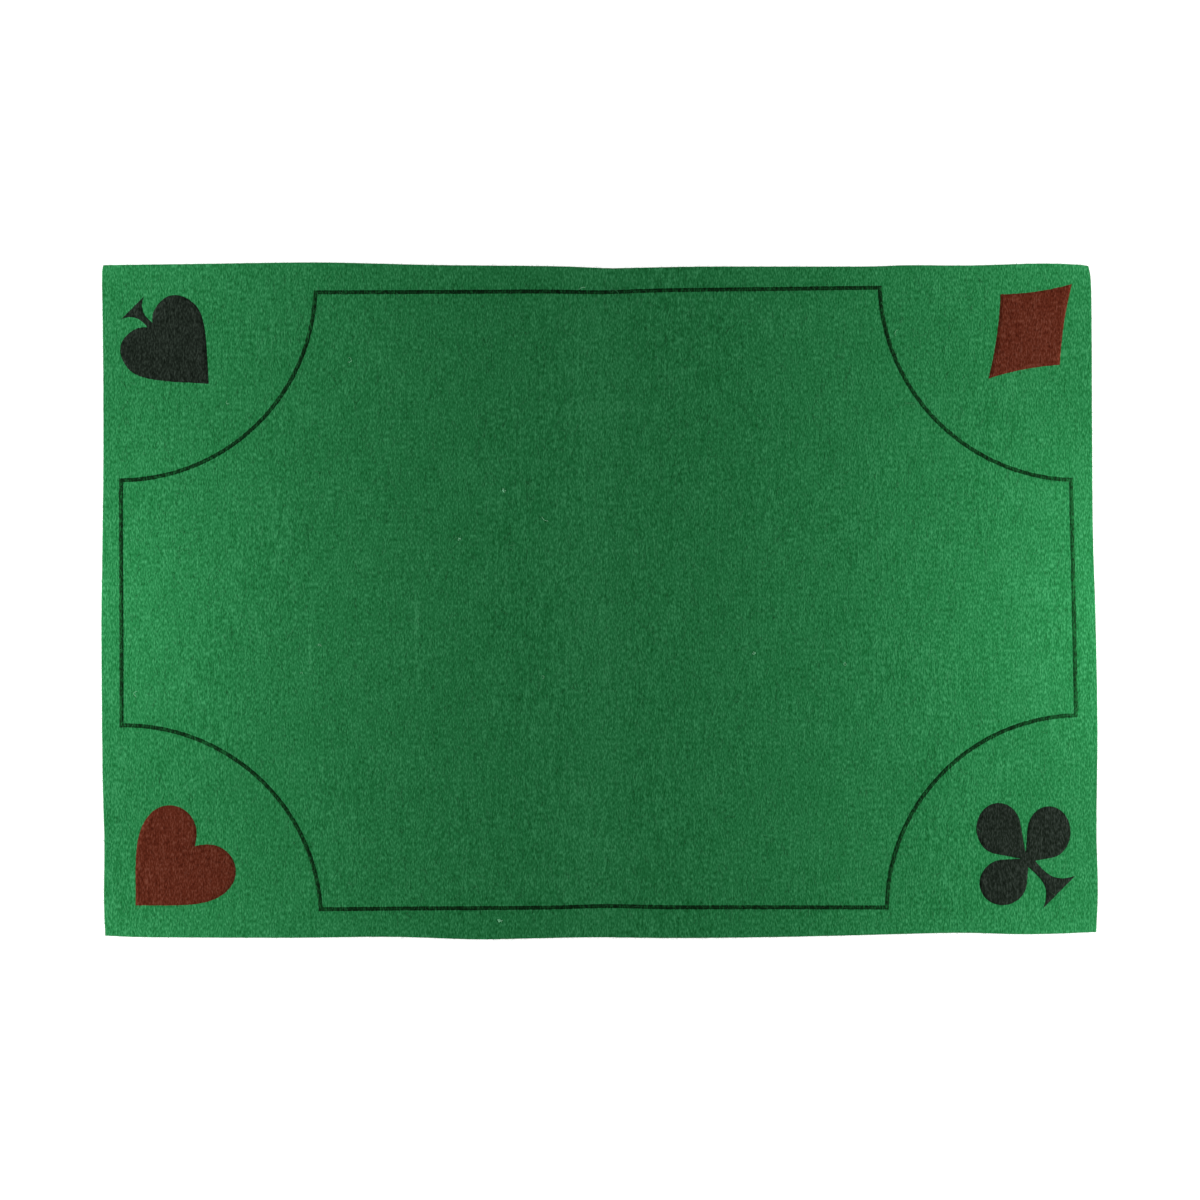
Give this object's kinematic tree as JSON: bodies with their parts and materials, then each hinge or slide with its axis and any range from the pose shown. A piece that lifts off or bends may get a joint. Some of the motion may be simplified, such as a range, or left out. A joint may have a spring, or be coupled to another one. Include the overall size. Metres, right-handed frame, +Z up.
{
  "type": "folding felt playing mat",
  "caption": "Rectangular green felt playing mat that folds in half, printed with a black border with bitten-in corners and a suit mark in each corner.",
  "frame": {"origin": "middle of the mat's outline, on its underside, with the mat lying open and flat", "axes": "+Z up out of the printed side, +X along the length towards the diamond and the club, +Y across the width towards the spade and the diamond"},
  "size_m": [0.8976, 0.6098, 0.0018],
  "materials": {
    "green_felt": "matte",
    "black_ink": "matte",
    "red_ink": "matte"
  },
  "bodies": {
    "left_half": {"felt_left_panel": "green_felt", "border_print_left": "black_ink", "spade_print": "black_ink", "heart_print": "red_ink"},
    "right_half": {"felt_right_panel": "green_felt", "border_print_right": "black_ink", "diamond_print": "red_ink", "club_print": "black_ink"}
  },
  "joints": [
    {"name": "centre_fold", "type": "hinge", "parent": "left_half", "child": "right_half", "pos_m": [0.006, 0, 0.003], "axis": [0, -1, 0], "range_deg": [0, 179.5]}
  ]
}
